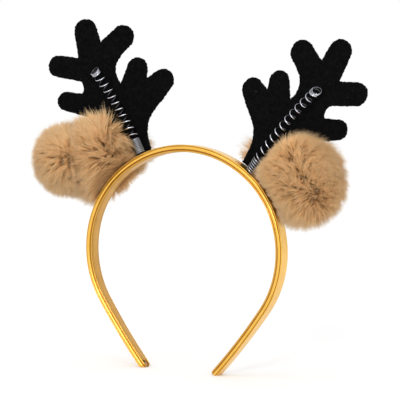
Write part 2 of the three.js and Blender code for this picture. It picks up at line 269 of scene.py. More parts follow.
def half_section():
    top = BAND_HALF_T
    rows = [
        [3.8, top - 0.04, 0.0],
        [2.4, top - 0.08, 0.0],
        [1.75, top - 0.1, 0.12],
    ]
    rows += round_part(1.02, top - CORNER_R, CORNER_R, 100, 20, 6)
    # The crease, the groove under the roll and the turned-in ridge get painted shade in the third column.
    rows += [[0.6, top - 0.64, 0.6], [0.78, top - 0.8, 1.0], [0.6, top - 0.98, 0.6]]
    rows += round_part(ROLL_R, top - 1.9, ROLL_R, 56, -56, 10)
    rows += [
        [0.75, top - 2.94, 0.6],
        [1.05, top - 3.06, 0.95],
        [1.05, top - 3.22, 0.95],
        [0.8, top - 3.38, 0.7],
    ]
    rows += round_part(0.95, -top + RIDGE_R, RIDGE_R, 35, -90, 8, RIDGE_SHADE)
    rows += [
        [1.0, -top + 0.06, 0.35],
        [1.12, -top + 0.5, 1.0],
        [2.4, -top + 0.6, 1.0],
    ]
    return np.array(rows)


section_rows = half_section()
print("half a section has", len(section_rows), "places")

# %% [markdown]
# The section is set upright at hundreds of places along the line of the arch and neighbouring
# rings are joined by faces. At the two ends the section shrinks in a quarter circle, which makes
# the round tips, and nothing may sink below the floor that they stand on.

# %% Sweep the wrap along the arch
WRAP_STEPS = 330
TIP_ROUND_W = 3.2
TIP_ROUND_T = 1.7
TIP_NARROWS = 0.94
TIP_THINS = 0.85
FULL_SECTION_HALF_W = 2.6


def tip_lengths(end, round_length, steps=12):
    turn = np.linspace(0, math.pi / 2, steps + 1)[1:]
    return end - round_length + round_length * np.sin(turn)


def strip_lengths(end, round_length, steps):
    half = np.linspace(0, end - round_length, steps // 2)[1:]
    side = np.concatenate([half, tip_lengths(end, round_length)])
    return np.concatenate([-side[::-1], [0.0], side])


def sweep_section(name, lengths, end, rows_at):
    centres, normals = arch_at(lengths)
    points, depth, runs, rounds = [], [], [], []
    for length, centre, normal in zip(lengths, centres, normals):
        rows = rows_at(length, end - abs(length))
        points.append(centre + rows[:, :1] * [[0, 1, 0]] + rows[:, 1:2] * normal)
        depth.append(rows[:, 2])
        runs.append(np.full(len(rows), length))
        rounds.append(np.arange(len(rows)) / len(rows))
    count = len(points[0])
    grid = np.concatenate(points) + ARCH_SHIFT
    grid[:, 2] = np.maximum(grid[:, 2], 0.0)
    faces = []
    for ring in range(len(lengths) - 1):
        for i in range(count):
            a, b = ring * count + i, ring * count + (i + 1) % count
            faces.append((a, a + count, b + count, b))
    last = (len(lengths) - 1) * count
    faces.append(tuple(range(count)))
    faces.append(tuple(last + i for i in reversed(range(count))))
    swept = mesh_object(name, grid, faces)
    put_number(swept, "fold_shade", np.concatenate(depth))
    put_number(swept, "run", np.concatenate(runs))
    put_number(swept, "round", np.concatenate(rounds))
    face_outwards(swept)
    return swept


def wrap_rows(length, distance):
    half_w = band_half_width(length) - end_inset(distance, TIP_ROUND_W) * TIP_NARROWS
    thin = 1 - end_inset(distance, TIP_ROUND_T) / TIP_ROUND_T * TIP_THINS
    squeeze = min(1.0, half_w / FULL_SECTION_HALF_W)
    front = section_rows.copy()
    front[:, 0] = -half_w + front[:, 0] * squeeze
    front[:, 1] *= thin
    rear = front[::-1].copy()
    rear[:, 0] *= -1
    return np.concatenate([front, rear])


wrap_lengths = strip_lengths(HALF_LENGTH, TIP_ROUND_W, WRAP_STEPS)
wrap = sweep_section("gold_wrap", wrap_lengths, HALF_LENGTH, wrap_rows)
print("wrap:", triangles(wrap), "triangles")

# %% [markdown]
# ## The gold finish
# Gold satin is woven from flat shiny threads, so it gleams like metal but never mirrors. A
# mostly metallic shader of low roughness gives that, and a thin coat adds the paler gleam on
# top. Its colour is not even: brown painted shade is laid into the creases, and long faint
# streaks follow the arch where the cloth was pulled round it. The streaks are noise that is
# stretched along the arch by the stored run and round numbers.

# %% Gold satin
def pulled_along(tree, run, turn, run_scale, turn_scale):
    scaled_run = maths(tree, "MULTIPLY", run, run_scale)
    scaled_turn = maths(tree, "MULTIPLY", turn, turn_scale)
    return node(tree, "ShaderNodeCombineXYZ", {0: scaled_run, 1: scaled_turn}).outputs[0]


def mingled(tree, first, second, share):
    part_of_first = maths(tree, "MULTIPLY", first, share)
    part_of_second = maths(tree, "MULTIPLY", second, 1 - share)
    return maths(tree, "ADD", part_of_first, part_of_second)


def gold_cloth(name, light, middle, fold_shade_colour, metal, rough, weave_strength):
    finish, tree, shader = new_finish(name)
    run = node(tree, "ShaderNodeAttribute", attribute_name="run").outputs["Fac"]
    turn = node(tree, "ShaderNodeAttribute", attribute_name="round").outputs["Fac"]
    fold_shade = node(tree, "ShaderNodeAttribute", attribute_name="fold_shade").outputs["Fac"]
    streaks = noise(tree, pulled_along(tree, run, turn, 0.05, 30.0), 1.6, 5.0)
    place = node(tree, "ShaderNodeTexCoord").outputs["Object"]
    cloudy = noise(tree, place, 160.0, 3.0)
    patches = mingled(tree, streaks, cloudy, 0.6)
    plain = colour_ramp(tree, patches, ((0.32, middle), (0.66, light)))
    # Painted shade: the colour darkens towards the brown shade colour in creases, by the stored number.
    shade = between(tree, fold_shade, From_Min=0.15, From_Max=1.0)
    tree.links.new(blend_colours(tree, shade, plain, (*fold_shade_colour, 1.0)), shader.inputs["Base Color"])
    weave = noise(tree, pulled_along(tree, run, turn, 2.4, 60.0), 1.3, 2.0)
    bump = node(tree, "ShaderNodeBump", {"Strength": weave_strength, "Distance": 0.0002, "Height": weave})
    tree.links.new(bump.outputs[0], shader.inputs["Normal"])
    gleam = between(tree, streaks, To_Min=rough - 0.06, To_Max=rough + 0.08)
    tree.links.new(gleam, shader.inputs["Roughness"])
    shader.inputs["Metallic"].default_value = metal
    shader.inputs["Coat Weight"].default_value = 0.55
    shader.inputs["Coat Roughness"].default_value = 0.16
    return finish


gold_satin = gold_cloth(
    "gold_satin_cloth", light=(0.93, 0.56, 0.10), middle=(0.80, 0.42, 0.035), fold_shade_colour=(0.30, 0.12, 0.008),
    metal=0.9, rough=0.25, weave_strength=0.25,
)
wrap.data.materials.append(gold_satin)
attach(wrap, "root")
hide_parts("band_wrap")
print("gold satin on", wrap.name)

# %% [markdown]
# ## The lining
# Inside the arch lies a flat ribbon of duller gold, where the band touches the hair. It is a
# thin strip with slightly crowned middle and soft edges, so it is swept in the same way as the
# wrap, from a section of its own, and stops a little above the tips.

# %% Lining strip
LINING_END = 4.0
LINING_INSET = 1.3
LINING_PROUD = 0.15
LINING_T = 1.0
LINING_STEPS = 240
gold_lining = gold_cloth(
    "gold_lining_cloth", light=(0.66, 0.35, 0.045), middle=(0.55, 0.275, 0.028), fold_shade_colour=(0.22, 0.09, 0.008),
    metal=0.75, rough=0.46, weave_strength=0.5,
)


def lining_rows(length, distance):
    half_w = band_half_width(length) - LINING_INSET - end_inset(distance, TIP_ROUND_W) * 0.92
    inner = -BAND_HALF_T - LINING_PROUD
    outer = inner + LINING_T * 0.55
    # The third column is painted shade: darker on the side against the wrap, along the edges and on the
    # small ridge.
    front = np.array([
        [0.0, outer, 0.5],
        [half_w - 0.2, outer, 0.9],
        [half_w, outer - 0.15, 0.8],
        [half_w, inner + 0.16, 0.35],
        [half_w - 0.12, inner + 0.03, 0.1],
        [half_w - 0.35, inner, 0.0],
        [half_w - 0.75, inner + 0.02, 0.0],
        [half_w - 0.95, inner + 0.12, 0.75],
        [half_w - 1.15, inner + 0.02, 0.1],
        [half_w * 0.3, inner, 0.0],
    ])
    rear = front[:0:-1].copy()
    rear[:, 0] *= -1
    return np.concatenate([front, rear])


lining_end = HALF_LENGTH - LINING_END
lining_lengths = strip_lengths(lining_end, TIP_ROUND_W, LINING_STEPS)
lining = sweep_section("lining_strip", lining_lengths, lining_end, lining_rows)
lining.data.materials.append(gold_lining)
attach(lining, "root")
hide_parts("band_lining")
print("lining:", triangles(lining), "triangles")

# %% [markdown]
# ## The stitches
# The lining is whipped to the wrap with short slanting stitches, close together, which give the
# inside edge its speckled look. They repeat along a path, which is what Geometry Nodes is for:
# a line is resampled by the stitch spacing, a small thread shape is put on each point, turned to
# lie along the line and slanted, and made real at the end. Its sizes are inputs of the tree.

# %% A tree that sews along a line
def new_tree(name, sockets):
    tree = bpy.data.node_groups.new(name, "GeometryNodeTree")
    tree.interface.new_socket("Geometry", in_out="INPUT", socket_type="NodeSocketGeometry")
    for label, kind, value in sockets:
        socket = tree.interface.new_socket(label, in_out="INPUT", socket_type=kind)
        if value is not None:
            socket.default_value = value
    tree.interface.new_socket("Geometry", in_out="OUTPUT", socket_type="NodeSocketGeometry")
    return tree, node(tree, "NodeGroupInput"), node(tree, "NodeGroupOutput")


def stored(tree, label, kind="FLOAT"):
    return node(tree, "GeometryNodeInputNamedAttribute", {"Name": label}, data_type=kind).outputs[0]


def finish_tree(tree, last, material, end):
    dyed = node(tree, "GeometryNodeSetMaterial", {"Geometry": last.outputs[0], "Material": material})
    tree.links.new(dyed.outputs[0], end.inputs[0])


def run_tree(thing, tree, values, name):
    live = thing.modifiers.new("grow", "NODES")
    live.node_group = tree
    for item in tree.interface.items_tree:
        if item.in_out == "INPUT" and item.name in values:
            live[item.identifier] = values[item.name]
    seen = thing.evaluated_get(bpy.context.evaluated_depsgraph_get())
    mesh = bpy.data.meshes.new_from_object(seen)
    thing.modifiers.remove(live)
    mesh.name = name
    made = bpy.data.objects.new(name, mesh)
    bpy.context.scene.collection.objects.link(made)
    return made


def sewing_tree():
    tree, start, end = new_tree("sew_along_line", (
        ("Stitch spacing", "NodeSocketFloat", 0.0012),
        ("Stitch length", "NodeSocketFloat", 0.0011),
        ("Thread radius", "NodeSocketFloat", 0.00013),
        ("Slant", "NodeSocketFloat", 0.6),
        ("Thread", "NodeSocketMaterial", None),
    ))
    line = node(tree, "GeometryNodeMeshToCurve", {"Mesh": start.outputs["Geometry"]})
    spaced = node(tree, "GeometryNodeResampleCurve", {
        "Curve": line.outputs[0], "Length": start.outputs["Stitch spacing"],
    }, mode="LENGTH")
    tangent = node(tree, "GeometryNodeInputTangent").outputs[0]
    lay = node(tree, "FunctionNodeAlignRotationToVector", {"Vector": tangent}, axis="X")
    facing = stored(tree, "facing", "FLOAT_VECTOR")
    stand = node(tree, "FunctionNodeAlignRotationToVector", {
        "Rotation": lay.outputs[0], "Vector": facing,
    }, axis="Z", pivot_axis="X")
    slant = node(tree, "FunctionNodeAxisAngleToRotation", {
        "Axis": (0, 0, 1), "Angle": start.outputs["Slant"],
    })
    turned = node(tree, "FunctionNodeRotateRotation", {
        "Rotation": stand.outputs[0], "Rotate By": slant.outputs[0],
    }, rotation_space="LOCAL")
    thread = node(tree, "GeometryNodeMeshUVSphere", {"Segments": 6, "Rings": 5, "Radius": 1.0})
    half = maths(tree, "MULTIPLY", start.outputs["Stitch length"], 0.5)
    size = node(tree, "ShaderNodeCombineXYZ", {
        0: half, 1: start.outputs["Thread radius"], 2: start.outputs["Thread radius"],
    })
    sewn = node(tree, "GeometryNodeInstanceOnPoints", {
        "Points": spaced.outputs[0], "Instance": thread.outputs[0],
        "Rotation": turned.outputs[0], "Scale": size.outputs[0],
    })
    real = node(tree, "GeometryNodeRealizeInstances", {"Geometry": sewn.outputs[0]})
    finish_tree(tree, real, start.outputs["Thread"], end)
    return tree


sewing = sewing_tree()
print("sewing tree has", len(sewing.nodes), "nodes")

# %% [markdown]
# The thread is a darker brown gold than the cloth. Each row of stitches follows the edge of the
# lining, a little in from it, and the two rows slant opposite ways. The line that they follow
# carries the way that the stitches face, and is thrown away once they are sewn.

# %% Sew the lining to the wrap
STITCH_INSET = 1.18
STITCH_END = 1.2
STITCH_LINE_POINTS = 420
STITCH_SLANT = 0.75
thread_gold, thread_tree, thread_shader = new_finish("thread_brown_gold")
twist = noise(thread_tree, node(thread_tree, "ShaderNodeTexCoord").outputs["Object"], 900.0, 2.0)
thread_tree.links.new(
    colour_ramp(thread_tree, twist, ((0.35, (0.20, 0.10, 0.02)), (0.65, (0.52, 0.31, 0.08)))),
    thread_shader.inputs["Base Color"],
)
thread_shader.inputs["Roughness"].default_value = 0.55


def sewn_line(name, edge):
    reach = lining_end - STITCH_END
    lengths = np.linspace(-reach, reach, STITCH_LINE_POINTS)
    centres, normals = arch_at(lengths)
    offset = edge * (band_half_width(lengths) - STITCH_INSET)
    points = centres - normals * (BAND_HALF_T + 0.02) + offset[:, None] * [[0, 1, 0]] + ARCH_SHIFT
    guide_mesh = bpy.data.meshes.new(name + "_line")
    guide_mesh.from_pydata((points * MM).tolist(), [(i, i + 1) for i in range(len(points) - 1)], [])
    guide = bpy.data.objects.new(name + "_line", guide_mesh)
    bpy.context.scene.collection.objects.link(guide)
    put_number(guide, "facing", -normals, "FLOAT_VECTOR")
    made = run_tree(guide, sewing, {"Slant": STITCH_SLANT * edge, "Thread": thread_gold}, name)
    bpy.data.objects.remove(guide)
    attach(made, "root")
    return made


for stitch_row in (sewn_line("stitches_front", -1), sewn_line("stitches_rear", 1)):
    print(stitch_row.name, triangles(stitch_row), "triangles")

# %% [markdown]
# ## The antlers
# Each antler is cut from stiff black craft felt, three millimetres thick, with six round tines.
# The outline is walked once: a round end is drawn at each tine, straight flanks join it to the
# notches, and smooth curves make the stem and the hollows. The same walk serves both antlers,
# turned over for the other side. It is not one curve object, because the flanks must touch the
# round ends exactly.

# %% Outline of an antler
# Columns: outboard of the foot, up from the band, radius of the round end
TINES = {
    "top_inner": (-6.6, 91.2, 7.7),
    "top_outer": (-27.1, 73.2, 7.6),
    "out_high": (21.5, 82.2, 7.0),
    "out_low": (28.1, 59.4, 6.1),
    "in_high": (-25.8, 50.3, 6.8),
    "in_low": (-37.1, 33.9, 7.2),
}
UNDER_INNER = ((-30.5, 23.7), (-23.5, 21.6), (-17.6, 18.9), (-12.9, 14.6), (-9.6, 8.2))
HOLLOW_INNER = ((-10.5, 53.6), (-12.2, 58.6), (-16.2, 62.3), (-22.4, 64.6))
HOLLOW_OUTER = ((12.4, 64.6), (12.3, 61.6), (13.4, 58.8), (15.4, 57.1))
UNDER_OUTER = ((25.8, 48.2), (17.8, 39.6), (10.8, 30.6), (6.4, 21.0), (3.6, 10.5))
NOTCH_INNER = (-27.5, 40.9)
NOTCH_STEM = (-10.8, 47.6)
NOTCH_TOP = (-11.8, 78.8)
NOTCH_OUTER = (6.2, 78.7)
STEM_INNER = -7.4
STEM_OUTER = 1.8
FELT_T = 3.0
CLEARANCE = 0.3


def spline(points, divisions):
    points = [np.array(p, dtype=float) for p in points]
    last = len(points) - 1
    made = []
    for step in range(divisions + 1):
        at = last * step / divisions
        i = min(int(at), last - 1)
        w = at - i
        p0, p1 = points[max(i - 1, 0)], points[i]
        p2, p3 = points[i + 1], points[min(i + 2, last)]
        v0, v1 = (p2 - p0) / 2, (p3 - p1) / 2
        cubic = (2 * p1 - 2 * p2 + v0 + v1) * w**3
        square = (-3 * p1 + 3 * p2 - 2 * v0 - v1) * w**2
        made.append(cubic + square + v0 * w + p1)
    return made


def tine_end(tine, before, after, step_degrees=7):
    u, v, radius = tine

    def touching(notch, turn):
        away_from = math.atan2(notch[1] - v, notch[0] - u)
        return away_from + turn * math.acos(radius / math.hypot(notch[0] - u, notch[1] - v))

    start, stop = touching(before, -1), touching(after, 1)
    while stop > start:
        stop -= 2 * math.pi
    count = math.ceil((start - stop) / math.radians(step_degrees))
    angles = np.linspace(start, stop, count + 1)
    return [np.array([u + radius * math.cos(a), v + radius * math.sin(a)]) for a in angles]


def seat_height(side, u):
    return u * math.tan(side["tilt"] - side["foot"]) - u**2 / (2 * (ARCS[0][0] + BAND_HALF_T))


def antler_outline(side, fine=6):
    lift = 2 * CLEARANCE + FELT_T / 2 * math.sin(side["lean"])
    base_inner = (STEM_INNER, seat_height(side, STEM_INNER) + lift)
    base_outer = (STEM_OUTER, seat_height(side, STEM_OUTER) + lift)
    walk = spline((base_inner, *UNDER_INNER[::-1]), 8 * fine)
    walk += tine_end(TINES["in_low"], UNDER_INNER[0], NOTCH_INNER) + [np.array(NOTCH_INNER)]
    walk += tine_end(TINES["in_high"], NOTCH_INNER, NOTCH_STEM)
    walk += spline((NOTCH_STEM, *HOLLOW_INNER), 6 * fine)
    walk += tine_end(TINES["top_outer"], HOLLOW_INNER[3], NOTCH_TOP) + [np.array(NOTCH_TOP)]
    walk += tine_end(TINES["top_inner"], NOTCH_TOP, NOTCH_OUTER) + [np.array(NOTCH_OUTER)]
    walk += tine_end(TINES["out_high"], NOTCH_OUTER, HOLLOW_OUTER[0])
    walk += spline(HOLLOW_OUTER, 4 * fine)
    walk += tine_end(TINES["out_low"], HOLLOW_OUTER[3], UNDER_OUTER[0])
    walk += spline((*UNDER_OUTER, base_outer), 8 * fine)
    return np.array(walk)


print("an antler has", len(TINES), "tines:", ", ".join(TINES))

# %% [markdown]
# The two antlers were sewn on by hand, so each has its own place along the arch, its own tilt
# outboard, and a slight turn and lean of its own. Each gets a small frame: an origin on the
# band, and a turn that takes outboard, upwards and forwards to the headband's own axes. The coil
# shares that frame. Its numbers stand here too, because fur and felt have to keep clear of it.

# %% Where each antler stands
SIDES = {
    "left": {
        "sign": -1, "foot": math.radians(27.3), "tilt": math.radians(33.4), "yaw": math.radians(-5.5),
        "lean": math.radians(2.3), "coil_shift": -2.3, "coil_sweep": 1.3, "foot_turns": 8.5,
        "foot_pitch": 1.1, "open_turns": 10.5, "open_pitch": 4.85, "open_tilt": math.radians(40),
        "fur_reach": -2.6,
    },
    "right": {
        "sign": 1, "foot": math.radians(34.7), "tilt": math.radians(41.6), "yaw": math.radians(-8.3),
        "lean": math.radians(8.3), "coil_shift": 4.4, "coil_sweep": -2.2, "foot_turns": 6.0,
        "foot_pitch": 1.5, "open_turns": 11.0, "open_pitch": 4.85, "open_tilt": math.radians(30),
        "fur_reach": 3.4,
    },
}
COIL_Y = -1.8
COIL_R = 3.3
WIRE_R = 0.35
TOP_TILT = math.radians(55)
COIL_LONG = 66.0
COIL_BOW = 2.1
FELT_MIDDLE = -COIL_R - CLEARANCE - FELT_T / 2

for side in SIDES.values():
    centre, normal = arch_at(np.array([side["sign"] * side["foot"] * ARCS[0][0]]))
    origin = centre[0] + normal[0] * BAND_HALF_T + ARCH_SHIFT
    origin[1] = COIL_Y + ARCH_SHIFT[1]
    turn = (
        Matrix.Rotation(side["sign"] * side["yaw"], 3, "Z")
        @ Matrix.Rotation(math.radians(90) - side["lean"], 3, "X")
        @ Matrix.Rotation(-side["sign"] * side["tilt"], 3, "Z")
    )
    side["turn"], side["origin"] = np.array(turn), origin
    print("antler foot at", origin.round(1))

# %% [markdown]
# Felt is pressed wool, so a cut edge is never a knife line: it wavers by a tenth of a
# millimetre and its corners are worn round. The outline is nudged by slow noise, and the rim is
# built from rings that shrink towards both faces. One more ring lies flat on each face, so that
# smooth shading stops there and the face stays plane.

# %% Felt plates
RIM = ((0.0, 0.55), (0.1, 0.25), (0.3, 0.08), (0.6, 0.0), (1.3, 0.0))
EDGE_WAVES = (37, 61, 97, 139, 173)
EDGE_WAVE_HIGH = 0.075


def outward_normals(outline):
    step = np.roll(outline, -1, axis=0) - outline
    step /= np.linalg.norm(step, axis=1)[:, None]
    edge = np.stack([-step[:, 1], step[:, 0]], axis=1)
    corner = edge + np.roll(edge, 1, axis=0)
    return corner / np.maximum(np.linalg.norm(corner, axis=1), 0.2)[:, None]


def even_outline(outline, spacing=0.55):
    closed = np.vstack([outline, outline[:1]])
    step = np.linalg.norm(np.diff(closed, axis=0), axis=1)
    keep = np.concatenate([[True], step[:-1] > 1e-6])
    outline, closed = outline[keep], np.vstack([outline[keep], outline[:1]])
    run = np.concatenate([[0], np.cumsum(np.linalg.norm(np.diff(closed, axis=0), axis=1))])
    at = np.linspace(0, run[-1], int(run[-1] / spacing), endpoint=False)
    return np.stack([np.interp(at, run, closed[:, i]) for i in (0, 1)], axis=1)


def felt_plate(name, side, seed):
    outline = even_outline(antler_outline(side))
    outward = outward_normals(outline)
    rng = np.random.default_rng(seed)
    wave = np.zeros(len(outline))
    at = np.arange(len(outline)) / len(outline) * 2 * math.pi
    for count in EDGE_WAVES:
        wave += EDGE_WAVE_HIGH * np.sin(count * at + rng.uniform(0, 6.3))
    rings = []
    for drawn_in, below in [*RIM[::-1], *[(a, -b) for a, b in RIM]]:
        face = 1 if (drawn_in, below) in RIM[::-1] and len(rings) < len(RIM) else -1
        height = face * (FELT_T / 2 - abs(below))
        flat = outline + outward * (wave - drawn_in)[:, None]
        level = np.full(len(flat), FELT_MIDDLE + height)
        rings.append(np.column_stack([side["sign"] * flat[:, 0], flat[:, 1], level]))
    count = len(outline)
    points = np.concatenate(rings) @ side["turn"].T + side["origin"]
    faces = [
        (r * count + i, r * count + (i + 1) % count, (r + 1) * count + (i + 1) % count, (r + 1) * count + i)
        for r in range(len(rings) - 1) for i in range(count)
    ]
    last = (len(rings) - 1) * count
    faces += [tuple(range(count)), tuple(last + i for i in reversed(range(count)))]
    plate = mesh_object(name, points, faces)
    face_outwards(plate)
    return plate


plates = {}
for seed, (name, side) in enumerate(SIDES.items(), 5):
    plates[name] = felt_plate(f"felt_{name}", side, seed)
print({name: triangles(plate) for name, plate in plates.items()})

# %% [markdown]
# Black felt drinks nearly all light. What shows it is felt and not plastic is a faint mat of
# fibres: a soft bump, patches of slightly greyer wool, and a bloom of light at grazing angles,
# which is what the shader's sheen is for.

# %% Black felt
def felt_finish(name, dark, light):
    finish, tree, shader = new_finish(name)
    place = node(tree, "ShaderNodeTexCoord").outputs["Object"]
    clumps = noise(tree, place, 420.0, 6.0, Roughness=0.7)
    hairs = noise(tree, place, 1900.0, 3.0, Distortion=1.5)
    mat = mingled(tree, clumps, hairs, 0.55)
    tree.links.new(colour_ramp(tree, mat, ((0.42, dark), (0.66, light))), shader.inputs["Base Color"])
    bump = node(tree, "ShaderNodeBump", {"Strength": 0.6, "Distance": 0.0004, "Height": mat})
    tree.links.new(bump.outputs[0], shader.inputs["Normal"])
    shader.inputs["Roughness"].default_value = 0.95
    shader.inputs["Specular IOR Level"].default_value = 0.04
    shader.inputs["Sheen Weight"].default_value = 0.004
    shader.inputs["Sheen Roughness"].default_value = 0.6
    return finish


black_felt = felt_finish("black_felt_wool", (0.0008, 0.0008, 0.0009), (0.0055, 0.0052, 0.0058))
for name, plate in plates.items():
    plate.data.materials.append(black_felt)
    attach(plate, "root")
    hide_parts(f"antler_{name}")
    print("black felt on", plate.name)

# %% [markdown]
# Short loose fibres stand off the felt and soften its outline. They are scattered over the
# plate by Geometry Nodes: points on the faces, a thin spike on each one leaning at random from
# the surface. A spike has four faces, because there are thousands of them.

# %% Felt fuzz
def fuzz_tree():
    tree, start, end = new_tree("fuzz_on_felt", (
        ("Fibres per square metre", "NodeSocketFloat", 1.0e6),
        ("Fibre length", "NodeSocketFloat", 0.0007),
        ("Fibre radius", "NodeSocketFloat", 0.00005),
        ("Lean", "NodeSocketFloat", 1.0),
        ("Seed", "NodeSocketInt", 1),
        ("Wool", "NodeSocketMaterial", None),
    ))
    given = start.outputs
    spread = node(tree, "GeometryNodeDistributePointsOnFaces", {
        "Mesh": given["Geometry"], "Density": given["Fibres per square metre"], "Seed": given["Seed"],
    })
    scatter = node(tree, "FunctionNodeRandomValue", {
        "Min": (-1, -1, -1), "Max": (1, 1, 1), "Seed": given["Seed"],
    }, data_type="FLOAT_VECTOR")
    tilt = vectors(tree, "SCALE", scatter.outputs[0])
    tree.links.new(given["Lean"], tilt.node.inputs["Scale"])
    aim = vectors(tree, "ADD", spread.outputs["Normal"], tilt)
    turn = node(tree, "FunctionNodeAlignRotationToVector", {"Vector": aim}, axis="Z")
    spike = node(tree, "GeometryNodeMeshCone", {
        "Vertices": 3, "Side Segments": 1, "Radius Top": 0.0, "Radius Bottom": 1.0, "Depth": 1.0,
    })
    vary = node(tree, "FunctionNodeRandomValue", {2: 0.4, 3: 1.2}, data_type="FLOAT")
    long = maths(tree, "MULTIPLY", given["Fibre length"], vary.outputs[1])
    size = node(tree, "ShaderNodeCombineXYZ", {0: given["Fibre radius"], 1: given["Fibre radius"], 2: long})
    grown = node(tree, "GeometryNodeInstanceOnPoints", {
        "Points": spread.outputs[0], "Instance": spike.outputs[0],
        "Rotation": turn.outputs[0], "Scale": size.outputs[0],
    })
    real = node(tree, "GeometryNodeRealizeInstances", {"Geometry": grown.outputs[0]})
    finish_tree(tree, real, given["Wool"], end)
    return tree


fuzz = fuzz_tree()
loose_wool = felt_finish("loose_black_wool", (0.0015, 0.0015, 0.0017), (0.008, 0.0078, 0.0085))
pale_lint = felt_finish("pale_lint", (0.10, 0.09, 0.085), (0.22, 0.20, 0.19))
for seed, (name, plate) in enumerate(plates.items(), 21):
    fibres = run_tree(plate, fuzz, {"Seed": seed, "Wool": loose_wool}, f"felt_fuzz_{name}")
    lint = run_tree(plate, fuzz, {
        "Seed": seed + 50, "Wool": pale_lint, "Fibres per square metre": 2500.0,
        "Fibre length": 0.0014, "Fibre radius": 0.00006, "Lean": 6.0,
    }, f"felt_lint_{name}")
    for loose in (fibres, lint):
        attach(loose, "root")
        print(loose.name, triangles(loose), "triangles")

# %% [markdown]
# ## The springs
# Each antler sways on a coil of silver wire with a close-wound foot, an open middle and a few
# close turns at the top. The shape follows a rule, so Geometry Nodes draws it: a line with a
# fixed number of points for each turn is bent into the coil by its point number, and a round
# wire is drawn along it. The turns, pitches and radii are inputs, so the two springs share one
# tree.

# %% A tree that winds a spring
# Painted shade: how much darker the close-wound foot is coloured.
PAINTED_FOOT_SHADE = 0.55


